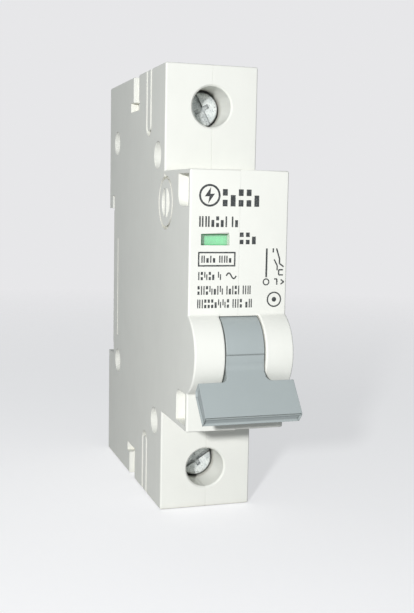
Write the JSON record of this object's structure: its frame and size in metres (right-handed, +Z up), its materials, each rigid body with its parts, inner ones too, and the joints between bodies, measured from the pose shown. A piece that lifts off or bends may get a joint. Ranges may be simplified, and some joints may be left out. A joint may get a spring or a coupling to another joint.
{
  "type": "miniature circuit breaker",
  "caption": "One-pole miniature circuit breaker for a 35 mm rail, with a tilting handle, contact indicator, rising clamp terminals and rail clip.",
  "frame": {"origin": "middle of the rail seat, the flat face on the back that lies on a 35 mm rail", "axes": "+Y out of the back towards the rail, +Z up as mounted, +X to the right seen from the front"},
  "size_m": [0.0178, 0.0735, 0.0835],
  "materials": {
    "case_plastic": "fine moulded satin",
    "handle_plastic": "fine moulded satin",
    "clip_plastic": "fine moulded satin",
    "inner_plastic": "moulded",
    "black_plastic": "moulded",
    "green_plastic": "moulded",
    "red_plastic": "moulded",
    "clear_plastic": "clear gloss",
    "plated_steel": "zinc plated",
    "steel": "bright rolled",
    "spring_steel": "drawn wire",
    "bimetal": "rolled strip",
    "copper": "bright copper",
    "brass": "turned",
    "silver": "satin silver alloy",
    "vulcanised_fibre": "pressed fibre"
  },
  "bodies": {
    "case": {"housing_left": "case_plastic", "housing_right": "case_plastic", "rivet_upper_rear": "plated_steel", "rivet_upper_front": "plated_steel", "rivet_lower_rear": "plated_steel", "rivet_lower_front": "plated_steel", "window_lens": "clear_plastic", "handle_pin": "steel", "carrier_pin": "steel", "fixed_contact_tip": "silver", "fixed_contact_bar": "copper", "upper_arc_runner": "copper", "arc_plate_1": "steel", "arc_plate_2": "steel", "arc_plate_3": "steel", "arc_plate_4": "steel", "arc_plate_5": "steel", "arc_plate_6": "steel", "arc_plate_7": "steel", "arc_side_left": "vulcanised_fibre", "arc_side_right": "vulcanised_fibre", "top_terminal_plate": "copper", "bottom_terminal_plate": "copper", "trip_lever_pin": "steel", "mechanism_plate_left": "steel", "mechanism_plate_right": "steel", "coil_winding": "copper", "coil_former": "black_plastic", "coil_yoke": "steel", "pole_piece": "steel", "plunger_spring": "spring_steel", "bimetal_strip": "bimetal", "bimetal_bracket": "copper", "calibration_screw": "brass", "flexible_braid": "copper", "rail_clip_spring": "spring_steel"},
    "handle": {"handle": "handle_plastic", "handle_spring": "spring_steel"},
    "link": {"link_rod": "steel"},
    "carrier": {"contact_carrier": "black_plastic", "carrier_spring": "spring_steel", "moving_contact_arm": "copper", "moving_contact_tip": "silver"},
    "indicator": {"indicator_slider": "inner_plastic", "indicator_flag_green": "green_plastic", "indicator_flag_red": "red_plastic"},
    "trip_lever": {"trip_lever": "inner_plastic", "trip_lever_spring": "spring_steel"},
    "plunger": {"plunger": "steel"},
    "rail_clip": {"rail_clip": "clip_plastic"},
    "top_screw": {"top_terminal_screw": "plated_steel"},
    "top_clamp": {"top_terminal_clamp": "plated_steel"},
    "bottom_screw": {"bottom_terminal_screw": "plated_steel"},
    "bottom_clamp": {"bottom_terminal_clamp": "plated_steel"}
  },
  "joints": [
    {"name": "handle_hinge", "type": "hinge", "parent": "case", "child": "handle", "pos_m": [0, -0.057, -0.0086], "axis": [-1, 0, 0], "range_deg": [0, 80]},
    {"name": "link_pivot", "type": "hinge", "parent": "handle", "child": "link", "pos_m": [0, -0.05357, -0.01066], "axis": [-1, 0, 0], "range_deg": [-80.01, 0]},
    {"name": "carrier_pivot", "type": "hinge", "parent": "case", "child": "carrier", "pos_m": [0, -0.0384, 0.0064], "axis": [-1, 0, 0], "range_deg": [0, 23.71]},
    {"name": "indicator_slide", "type": "slide", "parent": "case", "child": "indicator", "axis": [0, 0, -1], "range_m": [0, 0.003]},
    {"name": "plunger_slide", "type": "slide", "parent": "case", "child": "plunger", "axis": [0, -1, 0], "range_m": [0, 0.0022], "stiffness_N_per_m": 60, "springref_m": -0.001, "deforming": ["plunger_spring"]},
    {"name": "trip_lever_pivot", "type": "hinge", "parent": "case", "child": "trip_lever", "pos_m": [0, -0.024, 0.0075], "axis": [-1, 0, 0], "range_deg": [0, 10.51]},
    {"name": "rail_clip_slide", "type": "slide", "parent": "case", "child": "rail_clip", "axis": [0, 0, -1], "range_m": [0, 0.0035], "stiffness_N_per_m": 900, "springref_m": -0.002, "deforming": ["rail_clip_spring"]},
    {"name": "top_screw_turn", "type": "hinge", "parent": "case", "child": "top_screw", "pos_m": [0, -0.0366, 0.0344], "axis": [0, 1, 0], "range_deg": [0, 1540]},
    {"name": "top_clamp_slide", "type": "slide", "parent": "case", "child": "top_clamp", "axis": [0, -1, 0], "range_m": [0, 0.003]},
    {"name": "bottom_screw_turn", "type": "hinge", "parent": "case", "child": "bottom_screw", "pos_m": [0, -0.0366, -0.0338], "axis": [0, 1, 0], "range_deg": [0, 1540]},
    {"name": "bottom_clamp_slide", "type": "slide", "parent": "case", "child": "bottom_clamp", "axis": [0, -1, 0], "range_m": [0, 0.003]}
  ],
  "couplings": [
    {"joint": "link_pivot", "follows": "handle_hinge", "ratio": -1},
    {"joint": "carrier_pivot", "follows": "handle_hinge", "ratio": 0.29625},
    {"joint": "indicator_slide", "follows": "handle_hinge", "m_per_rad": 0.0021486},
    {"joint": "trip_lever_pivot", "follows": "plunger_slide", "rad_per_m": 83.3},
    {"joint": "top_screw_turn", "follows": "top_clamp_slide", "rad_per_m": 8959},
    {"joint": "bottom_screw_turn", "follows": "bottom_clamp_slide", "rad_per_m": 8959}
  ]
}
